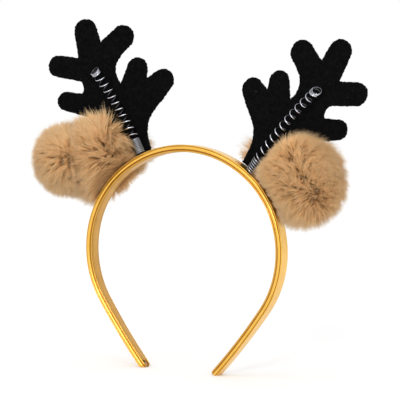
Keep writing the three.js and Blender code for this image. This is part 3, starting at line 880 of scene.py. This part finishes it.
def spring_tree(points_per_turn=22):
    tree, start, end = new_tree("wind_spring", (
        ("Coil radius", "NodeSocketFloat", 0.0029),
        ("Wire radius", "NodeSocketFloat", 0.0004),
        ("First height", "NodeSocketFloat", 0.001),
        ("Foot turns", "NodeSocketFloat", 11.0),
        ("Foot pitch", "NodeSocketFloat", 0.0011),
        ("Open turns", "NodeSocketFloat", 11.0),
        ("Open pitch", "NodeSocketFloat", 0.0043),
        ("Top turns", "NodeSocketFloat", 2.5),
        ("Top pitch", "NodeSocketFloat", 0.0011),
        ("Open tilt", "NodeSocketFloat", 0.42),
        ("Top tilt", "NodeSocketFloat", 0.87),
        ("Sweep", "NodeSocketFloat", 0.0),
        ("Bow", "NodeSocketFloat", 0.0),
        ("Wire", "NodeSocketMaterial", None),
    ))
    given = start.outputs
    foot_and_open = maths(tree, "ADD", given["Foot turns"], given["Open turns"])
    all_turns = maths(tree, "ADD", foot_and_open, given["Top turns"])
    count = maths(tree, "MULTIPLY", all_turns, float(points_per_turn))
    line = node(tree, "GeometryNodeMeshLine", {"Count": count})
    turns = maths(tree, "DIVIDE", node(tree, "GeometryNodeInputIndex").outputs[0], float(points_per_turn))
    in_foot = maths(tree, "MINIMUM", turns, given["Foot turns"])
    past_foot = maths(tree, "MAXIMUM", maths(tree, "SUBTRACT", turns, given["Foot turns"]), 0.0)
    in_open = maths(tree, "MINIMUM", past_foot, given["Open turns"])
    in_top = maths(tree, "MAXIMUM", maths(tree, "SUBTRACT", turns, foot_and_open), 0.0)
    risen, whole = 0.0, 0.0
    for wound, all_wound, pitch in (
        (in_foot, given["Foot turns"], given["Foot pitch"]),
        (in_open, given["Open turns"], given["Open pitch"]),
        (in_top, given["Top turns"], given["Top pitch"]),
    ):
        risen = maths(tree, "MULTIPLY_ADD", wound, pitch, risen)
        whole = maths(tree, "MULTIPLY_ADD", all_wound, pitch, whole)
    height = maths(tree, "ADD", given["First height"], risen)
    share = maths(tree, "DIVIDE", risen, whole)
    still_to_rise = maths(tree, "SUBTRACT", share, 1.0)
    hollow = maths(tree, "MULTIPLY", maths(tree, "MULTIPLY", share, still_to_rise), 4.0)
    swept = maths(tree, "MULTIPLY", given["Sweep"], share)
    drift = maths(tree, "MULTIPLY_ADD", given["Bow"], hollow, swept)
    open_share = maths(tree, "DIVIDE", in_open, given["Open turns"])
    top_share = maths(tree, "DIVIDE", in_top, given["Top turns"])
    tilt_gained = maths(tree, "SUBTRACT", given["Top tilt"], given["Open tilt"])
    tip_more = maths(tree, "MULTIPLY", tilt_gained, top_share)
    tilt = maths(tree, "MULTIPLY_ADD", open_share, given["Open tilt"], tip_more)
    angle = maths(tree, "MULTIPLY", turns, 2 * math.pi)
    depth = maths(tree, "MULTIPLY", maths(tree, "SINE", angle), given["Coil radius"])
    place = node(tree, "ShaderNodeCombineXYZ", {
        0: maths(tree, "MULTIPLY_ADD", maths(tree, "COSINE", angle), given["Coil radius"], drift),
        1: maths(tree, "SUBTRACT", height, maths(tree, "MULTIPLY", depth, maths(tree, "SINE", tilt))),
        2: maths(tree, "MULTIPLY", depth, maths(tree, "COSINE", tilt)),
    })
    coiled = node(tree, "GeometryNodeSetPosition", {
        "Geometry": line.outputs[0], "Position": place.outputs[0],
    })
    path = node(tree, "GeometryNodeMeshToCurve", {"Mesh": coiled.outputs[0]})
    axis_point = node(tree, "ShaderNodeCombineXYZ", {0: drift, 1: height, 2: 0.0})
    marked = node(tree, "GeometryNodeStoreNamedAttribute", {
        "Geometry": path.outputs[0], "Name": "axis_point", "Value": axis_point.outputs[0],
    }, data_type="FLOAT_VECTOR", domain="POINT")
    in_foot_part = maths(tree, "SUBTRACT", 1.0, maths(tree, "MINIMUM", past_foot, 1.0))
    marked = node(tree, "GeometryNodeStoreNamedAttribute", {
        "Geometry": marked.outputs[0], "Name": "foot_part", "Value": in_foot_part,
    }, data_type="FLOAT", domain="POINT")
    ring = node(tree, "GeometryNodeCurvePrimitiveCircle", {"Resolution": 8, "Radius": given["Wire radius"]})
    drawn = node(tree, "GeometryNodeCurveToMesh", {
        "Curve": marked.outputs[0], "Profile Curve": ring.outputs[0], "Fill Caps": True,
    })
    axis = stored(tree, "axis_point", "FLOAT_VECTOR")
    away = node(tree, "ShaderNodeVectorMath", {
        0: node(tree, "GeometryNodeInputPosition").outputs[0], 1: axis,
    }, operation="DISTANCE").outputs["Value"]
    # Painted shade: the stored outer number is low towards the inside of the coil and lower still on the
    # foot, where the turns shade each other.
    outer = maths(tree, "DIVIDE", maths(tree, "SUBTRACT", away, given["Coil radius"]), given["Wire radius"])
    outer = maths(tree, "MULTIPLY_ADD", stored(tree, "foot_part"), -PAINTED_FOOT_SHADE, outer)
    shaded = node(tree, "GeometryNodeStoreNamedAttribute", {
        "Geometry": drawn.outputs[0], "Name": "outer", "Value": outer,
    }, data_type="FLOAT", domain="POINT")
    smooth = node(tree, "GeometryNodeSetShadeSmooth", {"Geometry": shaded.outputs[0]})
    finish_tree(tree, smooth, given["Wire"], end)
    return tree


winding = spring_tree()
print("spring tree has", len(winding.nodes), "nodes")

# %% [markdown]
# The wire is polished steel. Its colour is painted dark towards the inside of the coil and
# along the close-wound foot, as painted shade where the turns shade each other. Each spring grows
# from a single point that runs the tree with its own numbers, and is then turned and moved to the
# foot of its antler.

# %% Wire finish and both springs
WIRE_IN_SHADE = (0.08, 0.083, 0.09, 1.0)
silver_wire, wire_tree, wire_shader = new_finish("silver_spring_wire")
wire_place = node(wire_tree, "ShaderNodeTexCoord").outputs["Object"]
tarnish = noise(wire_tree, wire_place, 300.0, 4.0)
plain_wire = colour_ramp(wire_tree, tarnish, ((0.3, (0.55, 0.57, 0.63)), (0.7, (0.86, 0.88, 0.94))))
shade_outwardness = node(wire_tree, "ShaderNodeAttribute", attribute_name="outer").outputs["Fac"]
painted_inner_shade = between(wire_tree, shade_outwardness, From_Min=0.85, From_Max=-0.2)
wire_colour = blend_colours(wire_tree, painted_inner_shade, plain_wire, WIRE_IN_SHADE)
wire_tree.links.new(wire_colour, wire_shader.inputs["Base Color"])
wire_gloss = between(wire_tree, tarnish, To_Min=0.26, To_Max=0.14)
wire_tree.links.new(wire_gloss, wire_shader.inputs["Roughness"])
wire_shader.inputs["Metallic"].default_value = 1.0


def coil_start(side):
    rim = COIL_R * (math.sin(abs(side["tilt"] - side["foot"])) + math.sin(side["lean"]))
    return seat_height(side, side["coil_shift"]) + rim + WIRE_R + CLEARANCE


def wind_spring(name, side):
    seedling = mesh_object(f"spring_line_{name}", [(0, 0, 0)], [])
    coil = run_tree(seedling, winding, {
        "Coil radius": (COIL_R - WIRE_R) * MM,
        "Wire radius": WIRE_R * MM,
        "First height": coil_start(side) * MM,
        "Foot turns": side["foot_turns"],
        "Foot pitch": side["foot_pitch"] * MM,
        "Open turns": side["open_turns"],
        "Open pitch": side["open_pitch"] * MM,
        "Open tilt": side["open_tilt"],
        "Top tilt": TOP_TILT,
        "Sweep": side["sign"] * side["coil_sweep"] * MM,
        "Bow": side["sign"] * COIL_BOW * MM,
        "Wire": silver_wire,
    }, f"coil_{name}")
    bpy.data.objects.remove(seedling)
    place = Matrix.Translation(Vector(side["origin"] * MM)) @ Matrix(side["turn"].tolist()).to_4x4()
    coil.data.transform(place @ Matrix.Translation((side["sign"] * side["coil_shift"] * MM, 0, 0)))
    face_outwards(coil)
    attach(coil, "root")
    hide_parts(f"spring_{name}")
    return coil


for name, side in SIDES.items():
    print(wind_spring(name, side).name, "wound")

# %% [markdown]
# ## The fur balls
# Each ball is a small stuffed head with long tan fur. Real fur grows in tufts: hairs start
# apart at the skin and lean together at their tips, and whole areas lie one way. So every hair
# is worked out from four things: where it grows, the tuft it belongs to, a slow swirl over the
# ball, and its weight. Hairs that would run into the band, the felt, the spring or the next
# ball are cut short there, which is what pressing does to them. The real fur leaves the rolls of
# the band and most of the coil in view, so hairs in front of those are also tested where they
# would be seen from the camera.

# %% Room kept free of fur
BALLS = {
    "pompom_left_inner": {"centre": (-64.5, 3.6, 131.8), "radius": 32.2, "seed": 3, "side": "left"},
    "pompom_left_outer": {"centre": (-82.4, -8.8, 130.2), "radius": 25.2, "seed": 11, "side": "left"},
    "pompom_right_outer": {"centre": (82.9, -7.0, 122.9), "radius": 30.2, "seed": 23, "side": "right"},
    "pompom_right_inner": {"centre": (59.0, 8.4, 126.5), "radius": 27.5, "seed": 37, "side": "right"},
}
LYING_BEHIND = ("pompom_right_inner",)
FAR = 200.0
BAND_CLEAR = 0.25
FELT_CLEAR = 0.3
EDGE_SHOWN = 2.0
FUR_OVER_BAND = 2.6
SIGHT = np.array([-math.sin(CAMERA_AZIMUTH), math.cos(CAMERA_AZIMUTH), 0.0])
for ball in BALLS.values():
    ball["middle"] = np.array(ball["centre"]) + ARCH_SHIFT
ARCH_SAMPLES = arch_at(np.linspace(-HALF_LENGTH, HALF_LENGTH, 260))


def outside_band(points):
    flat = points - ARCH_SHIFT
    centres, normals = ARCH_SAMPLES
    gap = flat[:, None, [0, 2]] - centres[None, :, [0, 2]]
    nearest = (gap**2).sum(-1).argmin(1)
    offset = (gap[np.arange(len(flat)), nearest] * normals[nearest][:, [0, 2]]).sum(-1)
    return offset, flat[:, 1]


def inside_outline(flat, outline):
    inside = np.zeros(len(flat), dtype=bool)
    a, b = outline, np.roll(outline, -1, axis=0)
    for (ax, ay), (bx, by) in zip(a, b):
        if ay == by:
            continue
        crosses = (ay > flat[:, 1]) != (by > flat[:, 1])
        inside ^= crosses & (flat[:, 0] < (bx - ax) * (flat[:, 1] - ay) / (by - ay) + ax)
    return inside


OUTLINES = {name: even_outline(antler_outline(side), 2.0) for name, side in SIDES.items()}


def taken(points, name, mingle=0.0):
    ball = BALLS[name]
    offset, y = outside_band(points)
    rear = FAR if name in LYING_BEHIND else BAND_W / 2 + BAND_CLEAR
    blocked = (offset < BAND_HALF_T + BAND_CLEAR) & (y < rear)
    ahead = np.maximum(BAND_W / 2 - EDGE_SHOWN - y, 0.0) / SIGHT[1]
    wavy = 0.5 * np.sin(points[:, 2] * 1.1) + 0.5 * np.sin(points[:, 2] * 2.7 + 2.0)
    seen_offset = outside_band(points + ahead[:, None] * SIGHT)[0]
    blocked |= (seen_offset < BAND_HALF_T - FUR_OVER_BAND + wavy) & (ahead > 0)
    side = SIDES[ball["side"]]
    local = (points - side["origin"]) @ side["turn"]
    u, v, w = local[:, 0] * side["sign"], local[:, 1], local[:, 2]
    outline = OUTLINES[ball["side"]]
    grown = outline + outward_normals(outline) * FELT_CLEAR
    near_felt = np.abs(w - FELT_MIDDLE) < FELT_T / 2 + FELT_CLEAR
    in_felt = np.zeros(len(points), dtype=bool)
    in_felt[near_felt] = inside_outline(np.stack([u, v], axis=1)[near_felt], grown)
    coil_share = np.clip(v / COIL_LONG, 0, 1)
    coil_u = side["coil_shift"] + side["coil_sweep"] * coil_share
    coil_u -= 4 * COIL_BOW * coil_share * (1 - coil_share)
    in_coil = np.hypot(u - coil_u, w) < COIL_R + CLEARANCE
    sight = SIGHT @ side["turn"]
    seen_u = u - side["sign"] * sight[0] / sight[2] * np.maximum(w, 0.0)
    seen_u += 0.8 * np.sin(v * 0.9) + 0.6 * np.sin(v * 2.3 + 1.0)
    reach = FAR if name in LYING_BEHIND else side["fur_reach"]
    in_front = (w > -COIL_R - CLEARANCE) & (seen_u < reach)
    blocked |= in_felt | in_coil | in_front
    for other_name, other in BALLS.items():
        if other_name != name and other["side"] == ball["side"]:
            gap = other["middle"] - ball["middle"]
            apart = np.linalg.norm(gap)
            plane = (apart**2 + ball["radius"] ** 2 - other["radius"] ** 2) / (2 * apart)
            blocked |= (points - ball["middle"]) @ (gap / apart) > plane - 0.1 + mingle
    return blocked


print({name: bool(taken(ball["middle"][None], name)[0]) for name, ball in BALLS.items()})

# %% [markdown]
# The hairs are two kinds. Long guard hairs curve from the skin to the tips of their tufts, and a
# short straight undercoat fills the gaps between them. Both are lists of roots here, with a
# direction, a bend, a thickness and a tone for each; Geometry Nodes turns the lists into hair.

# %% Work out the hairs
HEAD_SHARE = 0.56
GUARD_HAIRS = 14500
UNDER_HAIRS = 12000
TUFTS = 2600
SHORT_UNDER_BAND = 0.82
WISPS = {
    "pompom_left_inner": (((0.77, 0.46, 0.44), 0.13), ((0.42, -0.41, 0.80), 0.15)),
    "pompom_right_inner": (((-0.93, 0.10, 0.36), 0.18),),
}
LONG_BELOW = 0.07
MINGLE = 3.5


def even_directions(count, rng, jitter=0.6):
    i = np.arange(count)
    z = 1 - (2 * i + 1) / count
    ring = np.sqrt(1 - z * z)
    angle = i * math.pi * (3 - math.sqrt(5))
    ways = np.stack([ring * np.cos(angle), ring * np.sin(angle), z], axis=1)
    ways += rng.normal(0, jitter / math.sqrt(count), ways.shape)
    return ways / np.linalg.norm(ways, axis=1)[:, None]


def slow_swirl(ways, rng, waves=7, sharpness=2.2):
    field = np.zeros_like(ways)
    for _ in range(waves):
        along, push = rng.normal(0, sharpness, 3), rng.normal(0, 1, 3)
        field += np.sin(ways @ along + rng.uniform(0, 6.3))[:, None] * push
    field /= math.sqrt(waves)
    return field - (field * ways).sum(1)[:, None] * ways


def head_reach(name, ways):
    ball = BALLS[name]
    reach = np.zeros(len(ways))
    alive = np.ones(len(ways), dtype=bool)
    for share in np.linspace(0.04, 1, 24):
        points = ball["middle"] + ways * ball["radius"] * HEAD_SHARE * share
        alive &= ~taken(points, name)
        reach[alive] = ball["radius"] * HEAD_SHARE * share
    return reach


def comb_hairs(name, count, rng, guard):
    ball = BALLS[name]
    radius = ball["radius"]
    ways = even_directions(count, rng)
    tufts = even_directions(TUFTS, np.random.default_rng(ball["seed"] + 500), 1.6)
    mine = (ways @ tufts.T).argmax(1)
    tuft_rng = np.random.default_rng(ball["seed"] + 900)
    tuft_long = tuft_rng.uniform(0.97, 1.03, TUFTS)[mine]
    tuft_tone = tuft_rng.normal(0, 0.05, TUFTS)[mine]
    tuft_lean = slow_swirl(tufts, tuft_rng)[mine] * 0.36 + tuft_rng.normal(0, 0.13, (TUFTS, 3))[mine]
    droop = np.array([0, 0, -0.05])
    gather = 0.32 if guard else 0.2
    tip_way = ways * (1 - gather) + tufts[mine] * gather + tuft_lean + droop
    tip_way += rng.normal(0, 0.035, ways.shape)
    tip_way /= np.linalg.norm(tip_way, axis=1)[:, None]
    long = tuft_long * rng.uniform(0.93, 1.03, count) if guard else rng.uniform(0.82, 0.96, count)
    tips = ball["middle"] + tip_way * radius
    long = long * (1 + LONG_BELOW * np.maximum(-tip_way[:, 2], 0))
    if name == "pompom_left_inner":
        long = np.where(outside_band(tips)[0] < 0, long * SHORT_UNDER_BAND, long)
    for wisp_way, more in WISPS.get(name, ()):
        long = long * (1 + more * np.clip((ways @ np.array(wisp_way) - 0.84) / 0.1, 0, 1))
    root = ball["middle"] + ways * head_reach(name, ways)[:, None] * 0.97
    chord = ball["middle"] + tip_way * (radius * long)[:, None] - root
    first = chord * 0.45 + ways * np.linalg.norm(chord, axis=1)[:, None] * 0.55
    first = first if guard else chord
    bend = chord - first
    free = np.full(count, 1.0)
    stopped = np.zeros(count, dtype=bool)
    for share in np.linspace(0.05, 1.0, 20):
        stopped |= taken(root + first * share + bend * share**2, name, MINGLE)
        free[~stopped] = share
        free[stopped & (free == 1.0)] = max(share - 0.05, 0.0)
    keep = free * np.linalg.norm(chord, axis=1) > 2.0
    thick = rng.uniform(0.16, 0.26, count) if guard else rng.uniform(0.26, 0.4, count)
    return {
        "root": root[keep],
        "grow": (first * free[:, None])[keep],
        "bend": (bend * (free**2)[:, None])[keep],
        "thick": thick[keep],
        "tone": (tuft_tone + rng.normal(0, 0.1, count))[keep],
        "reach": (free * (long / 0.95))[keep],
    }


ball_hairs = {}
for name, ball in BALLS.items():
    rng = np.random.default_rng(ball["seed"])
    kinds = [comb_hairs(name, GUARD_HAIRS, rng, True), comb_hairs(name, UNDER_HAIRS, rng, False)]
    ball_hairs[name] = kinds
    print(name, [len(kind["root"]) for kind in kinds], "hairs")

# %% [markdown]
# A hair is a thin three-sided spike. The tree puts one on every root, aims it along the first
# direction, makes all of them real, and then pushes each point sideways by the bend times the
# square of how far along its hair it is. That is the curve a springy hair takes.

# %% A tree that grows hair
def hair_tree():
    tree, start, end = new_tree("grow_hair", (
        ("Bends along a hair", "NodeSocketInt", 2),
        ("Thickness", "NodeSocketFloat", 1.0),
        ("Fur", "NodeSocketMaterial", None),
    ))
    spike = node(tree, "GeometryNodeMeshCone", {
        "Vertices": 3, "Side Segments": start.outputs["Bends along a hair"],
        "Radius Top": 0.0, "Radius Bottom": 1.0, "Depth": 1.0,
    })
    spot = node(tree, "GeometryNodeInputPosition").outputs[0]
    height = node(tree, "ShaderNodeSeparateXYZ", {0: spot}).outputs[2]
    marked = node(tree, "GeometryNodeStoreNamedAttribute", {
        "Geometry": spike.outputs[0], "Name": "along", "Value": height,
    }, data_type="FLOAT", domain="POINT")
    grow = stored(tree, "grow", "FLOAT_VECTOR")
    aim = node(tree, "FunctionNodeAlignRotationToVector", {"Vector": grow}, axis="Z")
    length = node(tree, "ShaderNodeVectorMath", {0: grow}, operation="LENGTH").outputs["Value"]
    thick = maths(tree, "MULTIPLY", stored(tree, "thick"), start.outputs["Thickness"])
    size = node(tree, "ShaderNodeCombineXYZ", {0: thick, 1: thick, 2: length})
    grown = node(tree, "GeometryNodeInstanceOnPoints", {
        "Points": start.outputs["Geometry"], "Instance": marked.outputs[0],
        "Rotation": aim.outputs[0], "Scale": size.outputs[0],
    })
    real = node(tree, "GeometryNodeRealizeInstances", {"Geometry": grown.outputs[0]})
    along = stored(tree, "along")
    push = vectors(tree, "SCALE", stored(tree, "bend", "FLOAT_VECTOR"))
    tree.links.new(maths(tree, "MULTIPLY", along, along), push.node.inputs["Scale"])
    bent = node(tree, "GeometryNodeSetPosition", {"Geometry": real.outputs[0], "Offset": push})
    smooth = node(tree, "GeometryNodeSetShadeSmooth", {"Geometry": bent.outputs[0]})
    finish_tree(tree, smooth, start.outputs["Fur"], end)
    return tree


hair_growing = hair_tree()
print("hair tree has", len(hair_growing.nodes), "nodes")

# %% [markdown]
# The fur is tan along its length and nearly cream at the tips, and some tufts are darker than
# others. Towards the skin it is painted brown, as painted shade down in the pile, and hairs cut
# short keep that darker colour at their ends. The shader reads how far along its hair a point is
# and the tone of that hair. Hair is matt but catches light along it, so it has a little sheen.

# %% Tan fur finish
tan_fur, fur_tree, fur_shader = new_finish("tan_long_fur")
hair_along = node(fur_tree, "ShaderNodeAttribute", attribute_name="along").outputs["Fac"]
hair_reach = node(fur_tree, "ShaderNodeAttribute", attribute_name="reach").outputs["Fac"]
hair_tone = node(fur_tree, "ShaderNodeAttribute", attribute_name="tone").outputs["Fac"]
whole_along = maths(fur_tree, "MULTIPLY", hair_along, hair_reach)
# Brown towards the root: painted shade down in the pile.
hair_colour_and_root_shade = colour_ramp(fur_tree, whole_along, (
    (0.0, (0.42, 0.20, 0.065)),
    (0.35, (0.64, 0.34, 0.125)),
    (0.7, (0.85, 0.52, 0.23)),
    (1.0, (0.92, 0.64, 0.35)),
))
lighter = maths(fur_tree, "ADD", hair_tone, 1.0)
toned = node(fur_tree, "ShaderNodeVectorMath", {0: hair_colour_and_root_shade}, operation="SCALE")
fur_tree.links.new(lighter, toned.inputs["Scale"])
fur_tree.links.new(toned.outputs[0], fur_shader.inputs["Base Color"])
fur_shader.inputs["Roughness"].default_value = 0.62
fur_shader.inputs["Specular IOR Level"].default_value = 0.3
fur_shader.inputs["Sheen Weight"].default_value = 0.1
fur_shader.inputs["Sheen Roughness"].default_value = 0.5
print("fur finish ready")

# %% [markdown]
# Each ball is a small stuffed head with its hairs on it. The head is a round mesh whose points
# are drawn in where band, felt or the next ball presses, and both kinds of hair grow from their
# lists of roots. The three are joined into one piece, which stands for the CAD ball.

# %% Grow the fur


def hair_points(name, hairs):
    mesh = bpy.data.meshes.new(name)
    mesh.from_pydata((hairs["root"] * MM).tolist(), [], [])
    thing = bpy.data.objects.new(name, mesh)
    bpy.context.scene.collection.objects.link(thing)
    put_number(thing, "grow", hairs["grow"] * MM, "FLOAT_VECTOR")
    put_number(thing, "bend", hairs["bend"] * MM, "FLOAT_VECTOR")
    put_number(thing, "thick", hairs["thick"] * MM)
    put_number(thing, "tone", hairs["tone"])
    put_number(thing, "reach", hairs["reach"])
    return thing


def ball_head(name):
    ball = BALLS[name]
    shell = bmesh.new()
    bmesh.ops.create_icosphere(shell, subdivisions=3, radius=1.0)
    mesh = bpy.data.meshes.new(name + "_head")
    shell.to_mesh(mesh)
    shell.free()
    ways = np.array([v.co[:] for v in mesh.vertices])
    reach = np.maximum(head_reach(name, ways), 0.3)
    for vertex, point in zip(mesh.vertices, ball["middle"] + ways * reach[:, None]):
        vertex.co = point * MM
    thing = bpy.data.objects.new(name + "_head", mesh)
    bpy.context.scene.collection.objects.link(thing)
    thing.data.materials.append(tan_fur)
    # The head takes the dark root colour: painted shade under the hair.
    put_number(thing, "along", np.full(len(ways), 0.1))
    put_number(thing, "reach", np.full(len(ways), 1.0))
    put_number(thing, "tone", np.full(len(ways), 0.0))
    return thing


def join_pieces(name, things):
    bpy.ops.object.select_all(action="DESELECT")
    for thing in things:
        thing.select_set(True)
    bpy.context.view_layer.objects.active = things[0]
    bpy.ops.object.join()
    things[0].name = name
    things[0].data.name = name
    return things[0]


for name, kinds in ball_hairs.items():
    grown = [ball_head(name)]
    for hairs, bends, label in zip(kinds, (2, 1), ("guard", "under")):
        roots = hair_points(f"{name}_{label}_roots", hairs)
        values = {"Bends along a hair": bends, "Fur": tan_fur}
        grown.append(run_tree(roots, hair_growing, values, f"{name}_{label}"))
        bpy.data.objects.remove(roots)
    fur = join_pieces(name.replace("pompom", "fur_ball"), grown)
    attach(fur, "root")
    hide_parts(name)
    print(fur.name, triangles(fur), "triangles")

# %% [markdown]
# ## The studio
# The photograph is a catalogue picture on white: a pale floor that runs out of sight, light
# from all round, and one broad lamp above the camera that draws the bright line along the
# gold. Suns are used for the lamps because they light a large floor evenly.

# %% Floor and light
floor_shell = bmesh.new()
bmesh.ops.create_circle(floor_shell, cap_ends=True, segments=96, radius=40.0)
floor_mesh = bpy.data.meshes.new("studio_floor")
floor_shell.to_mesh(floor_mesh)
floor_shell.free()
studio_floor = bpy.data.objects.new("studio_floor", floor_mesh)
bpy.context.scene.collection.objects.link(studio_floor)
floor_paper, floor_tree, floor_shader = new_finish("white_paper")
floor_shader.inputs["Base Color"].default_value = (0.93, 0.93, 0.93, 1.0)
floor_shader.inputs["Roughness"].default_value = 0.9
floor_shader.inputs["Specular IOR Level"].default_value = 0.0
floor_mesh.materials.append(floor_paper)


def sun(name, azimuth, elevation, strength, spread):
    lamp_data = bpy.data.lights.new(name, "SUN")
    lamp_data.energy = strength
    lamp_data.angle = math.radians(spread)
    lamp = bpy.data.objects.new(name, lamp_data)
    bpy.context.scene.collection.objects.link(lamp)
    a, e = math.radians(azimuth), math.radians(elevation)
    towards = Vector((math.sin(a) * math.cos(e), -math.cos(a) * math.cos(e), math.sin(e)))
    lamp.rotation_euler = towards.to_track_quat("Z", "Y").to_euler()
    return lamp


sun("key_light", 12, 38, 0.62, 70)
sun("gleam_light", 20, 24, 0.7, 9)
studio = bpy.data.worlds.new("studio_air")
bpy.context.scene.world = studio
studio.use_nodes = True
air = studio.node_tree
background = air.nodes["Background"]
seen_directly = node(air, "ShaderNodeLightPath").outputs["Is Camera Ray"]
strength = between(air, seen_directly, To_Min=0.97, To_Max=1.0)
background.inputs["Color"].default_value = (1.0, 1.0, 1.0, 1.0)
air.links.new(strength, background.inputs["Strength"])
bpy.context.scene.view_settings.view_transform = "Standard"
print("studio lit")
